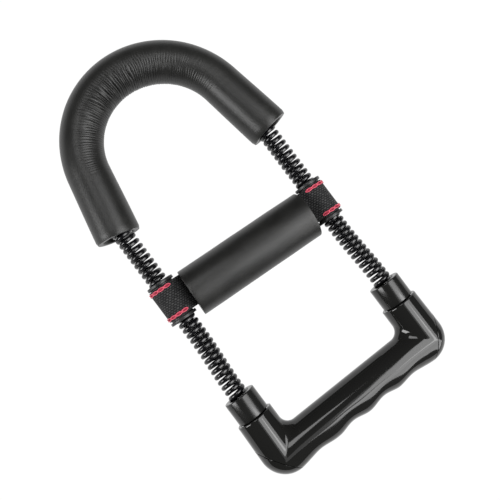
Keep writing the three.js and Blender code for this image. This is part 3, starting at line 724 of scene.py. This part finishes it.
for label, side in (("left", -1), ("right", 1)):
    for edge, across in (("upper", STITCH_ROW), ("lower", -STITCH_ROW)):
        bm = bmesh.new()
        for n in range(STITCHES):
            middle = (n - (STITCHES - 1) / 2) * STITCH_LINK
            rings, along = [], []
            for i in range(LOOP_STEPS):
                a = 2 * math.pi * i / LOOP_STEPS
                # A pointed loop: its sides draw together where it passes through the next one.
                u = middle + STITCH_LINK * 0.56 * math.cos(a)
                v = STITCH_HALF * math.sin(a) * (0.72 + 0.28 * abs(math.sin(a)))
                rise = 0.00025 * abs(math.sin(a)) - 0.0001 * math.cos(a)
                heading = math.atan2(math.cos(a) * STITCH_HALF, -math.sin(a) * STITCH_LINK * 0.56)
                rings.append(Matrix.Translation((u, v, rise)) @ Matrix.Rotation(heading, 4, "Z")
                             @ Matrix.Rotation(math.radians(90), 4, "Y") @ Matrix.Scale(THREAD_RADIUS, 4))
                along.append((i / LOOP_STEPS * LOOP_LENGTH, THREAD_RADIUS))
            drawn_through(bm, 8, rings, along)
        lights = len(bm.faces)
        core = [((i / 24 - 0.5) * STITCHES * STITCH_LINK, CORE_HALF) for i in range(25)]
        core_rings = [Matrix.Translation((u, 0, -0.0002)) @ Matrix.Rotation(math.radians(90), 4, "Y")
                      @ Matrix.Diagonal((CORE_RISE, r, 1, 1)) for u, r in core]
        drawn_through(bm, 8, core_rings, core, closed=False)
        for face in bm.faces[lights:]:
            face.material_index = 1
        for vert in bm.verts:
            angle, v, rise = vert.co.x / STITCH_RADIUS, vert.co.y, vert.co.z
            x = side * (LEG_X + (STITCH_RADIUS + rise) * math.cos(angle))
            y = BAR_Y + across + v - x * BAR_SKEW
            vert.co = (x, y, (STITCH_RADIUS + rise) * math.sin(angle))
        bmesh.ops.recalc_face_normals(bm, faces=bm.faces[:])
        stitches = finished_piece(f"chain_stitch_{label}_{edge}", bm, pink_thread, 180)
        stitches.data.materials.append(dark_thread)
        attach(stitches, "crossbar")
        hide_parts(f"stitch_row_{label}_{edge}")

# --- Handle ----------------------------------------------------------------------------------
# One glossy moulding: a grip with four finger scallops between two mitred elbows. Each elbow is
# open at its mouth for a collar and a spring, and a screwed cap closes each outer corner.
COLLAR_DEPTH, ELBOW_RADIUS = 0.018, 0.014
GRIP_TOP, GRIP_BOTTOM, CORNER_Y = -0.0368, -0.0662, -0.0670
INNER_X, CORNER_X = SOCKET_X - ELBOW_RADIUS, SOCKET_X + ELBOW_RADIUS + 0.0007
FILLET, CORNER_ROUND = 0.0075, 0.020
GRIP_HALF = CORNER_X - CORNER_ROUND
SCALLOPS = ((-0.689, 0.0015), (-0.205, 0.0024), (0.254, 0.0024), (0.689, 0.0016))
SCALLOP_WIDTH = 0.459 * GRIP_HALF
SOCKET_RADIUS, SOCKET_FLOOR = 0.0103, -0.0401


def scallop(x):
    depth = 0.0
    for middle, deep in SCALLOPS:
        u = (x - middle * GRIP_HALF) / SCALLOP_WIDTH
        depth += deep * math.cos(math.pi * u) ** 2 if abs(u) < 0.5 else 0.0
    return depth


def corner_round(c):
    """Radius of the turn that a lane c of the skin takes, from -1, inside, to 1, outside."""
    inner_turn = FILLET + (0.0012 - FILLET) * eased(c, -1.0, -0.35)
    return max(inner_turn, CORNER_ROUND * (c - 0.15) / 0.85)


def handle_skin(kind, t, c):
    """A place in the handle's top view: kind of stretch, how far along it, and the lane."""
    inner, outer = (1 - c) / 2, (1 + c) / 2
    if kind == "elbow":
        x = inner * INNER_X + outer * (SOCKET_X + ELBOW_RADIUS + 0.0007 * t)
        y = -COLLAR_DEPTH + t * (inner * GRIP_TOP + outer * CORNER_Y + corner_round(c) + COLLAR_DEPTH)
        return x, y
    if kind == "corner":
        a, r = math.radians(90) * t, corner_round(c)
        return (inner * INNER_X + outer * CORNER_X - r * (1 - math.cos(a)),
                inner * GRIP_TOP + outer * CORNER_Y + r * (1 - math.sin(a)))
    x = t * (inner * INNER_X + outer * CORNER_X - corner_round(c))
    bottom = GRIP_BOTTOM + (CORNER_Y - GRIP_BOTTOM) * eased(abs(t), 0.85, 1)
    return x, inner * GRIP_TOP + outer * bottom + scallop(t * GRIP_HALF) * outer ** 3


bm = bmesh.new()
AROUND = 72
runs = [("elbow", max(i / 14, 0.03), 1) for i in range(14)] + [("corner", i / 26, 1) for i in range(26)]
runs += [("grip", 1 - i / 70, 1) for i in range(141)]
runs += [("corner", 1 - i / 26, -1) for i in range(1, 27)]
runs += [("elbow", max(1 - i / 14, 0.03), -1) for i in range(1, 15)]
mouth = [(ELBOW_RADIUS - 0.0007 + 0.0007 * math.cos(a), 0.0007 * math.sin(a) - 0.0007)
         for a in (math.radians(22.5 * k) for k in range(1, 5))]
mouth += [(0.0126, 0.0), (0.0122, -0.0001), (SOCKET_RADIUS + 0.0006, -0.0001), (SOCKET_RADIUS, -0.0007),
          (SOCKET_RADIUS, -0.010), (SOCKET_RADIUS, SOCKET_FLOOR + COLLAR_DEPTH)]
rings = [("mouth", m, 1) for m in reversed(mouth)] + runs + [("mouth", m, -1) for m in mouth]
drawn_through(bm, AROUND, [Matrix.Translation((0, 0, 0.001 * i)) @ Matrix.Scale(0.01, 4)
                           for i in range(len(rings))], [(i, 1.0) for i in range(len(rings))], closed=False)
layer = bm.verts.layers.float_vector["straight"]
for vert in bm.verts:
    c, s, i = vert[layer]
    kind, t, side = rings[round(i)]
    if kind == "mouth":
        radius, rise = t
        vert.co = (side * (SOCKET_X + radius * c), -COLLAR_DEPTH + rise, radius * s)
    else:
        x, y = handle_skin(kind, t, c)
        vert.co = (x if kind == "grip" else side * x, y, ELBOW_RADIUS * s)
        # A narrow flat runs under the grip, where the mould's halves met.
        if kind == "grip":
            vert.co.z = max(vert.co.z, -ELBOW_RADIUS + 0.0009)
    vert[layer] = (0.014 * c, 0.014 * s, 0.001 * i)
bmesh.ops.remove_doubles(bm, verts=bm.verts[:], dist=1e-6)
bmesh.ops.recalc_face_normals(bm, faces=bm.faces[:])

# Each cap is parted from the moulding along one slanting cut, with a fine groove between them.
CAP_TOP, CAP_FOOT = Vector((CORNER_X + 0.001, -0.036, 0)), Vector((CORNER_X - 0.021, CORNER_Y, 0))
CAP_SEAM = 0.00022


def parted(source, side, keep_cap, gap):
    """Cuts the handle's mesh at a corner's parting line, keeps one part and closes its face."""
    run = CAP_TOP - CAP_FOOT
    away = Vector((-run.y, run.x, 0)).normalized()
    away *= -1 if away.x < 0 else 1
    at = CAP_FOOT + away * (gap if keep_cap else -gap)
    at.x *= side
    away.x *= side
    cut = bmesh.ops.bisect_plane(source, geom=source.verts[:] + source.edges[:] + source.faces[:],
                                 plane_co=at, plane_no=away, clear_outer=not keep_cap,
                                 clear_inner=keep_cap)
    rim = [g for g in cut["geom_cut"] if isinstance(g, bmesh.types.BMEdge)]
    bmesh.ops.contextual_create(source, geom=rim)
    rim = [e for e in rim if e.is_valid]
    bmesh.ops.bevel(source, geom=rim, offset=0.0003, offset_type="OFFSET", affect="EDGES",
                    segments=2, profile=0.5, material=-1, clamp_overlap=True)
    return source


gloss_black = handled_finish(finish_with("gloss_black_moulding", IOR=1.5), (0.0092, 0.0092, 0.0088),
                             (0.08, 0.08, 0.08), 0.05, 0.11, 55, 700, 0.12, depth=0.00003)
for label, side in (("left", -1), ("right", 1)):
    cap = finished_piece(f"corner_cap_cover_{label}", parted(bm.copy(), side, True, CAP_SEAM),
                         gloss_black, 60)
    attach(cap, "handle")
    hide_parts(f"corner_cap_{label}")
for side in (-1, 1):
    parted(bm, side, False, CAP_SEAM)
handle = finished_piece("handle_moulding", bm, gloss_black, 60)
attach(handle, "handle")
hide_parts("handle_body")

# --- Collars ---------------------------------------------------------------------------------
# A satin moulded sleeve stands in each elbow's mouth and holds the spring's lower end. Its rim
# is rounded, and its narrower spigot is glued into the elbow.
COLLAR_RADIUS, COLLAR_BORE, SPIGOT_RADIUS = 0.012, 0.0079, 0.0099
satin_black = handled_finish(finish_with("satin_black_moulding", IOR=1.5), (0.0092, 0.0092, 0.0088),
                             (0.08, 0.08, 0.08), 0.17, 0.25, 55, 700, 0.12, depth=0.00003)
for label, side in (("left", -1), ("right", 1)):
    profile = [(COLLAR_BORE, -0.0305), (SPIGOT_RADIUS, -0.0305), (SPIGOT_RADIUS, -COLLAR_DEPTH + 0.0003),
               (COLLAR_RADIUS, -COLLAR_DEPTH + 0.0003), (COLLAR_RADIUS, 0), (COLLAR_BORE, 0)]
    place = Matrix.Translation((side * SOCKET_X, 0, 0)) @ Matrix.Rotation(math.radians(-90), 4, "X")
    collar = finished_piece(f"collar_sleeve_{label}", softened(spun(profile, 72, place), 0.0007, 4),
                            satin_black, 60)
    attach(collar, "handle")
    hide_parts(f"socket_collar_{label}")

# --- Hidden fixings --------------------------------------------------------------------------
# Bright steel parts inside the handle and the bend: the bent tube, the plugs that hold the
# springs' upper ends, and the anchors and screws that hold the lower ones.
bright_steel = handled_finish(finish_with("turned_steel", Metallic=1.0), (0.46, 0.46, 0.47),
                              (0.25, 0.22, 0.19), 0.25, 0.45, 90, 1800, 0.25)
paired = ("upper_spring_plug", "lower_spring_anchor", "retaining_screw")
for node in ["bend_tube"] + [f"{name}_{side}" for side in ("left", "right") for name in paired]:
    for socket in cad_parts[node].material_slots:
        socket.material = bright_steel
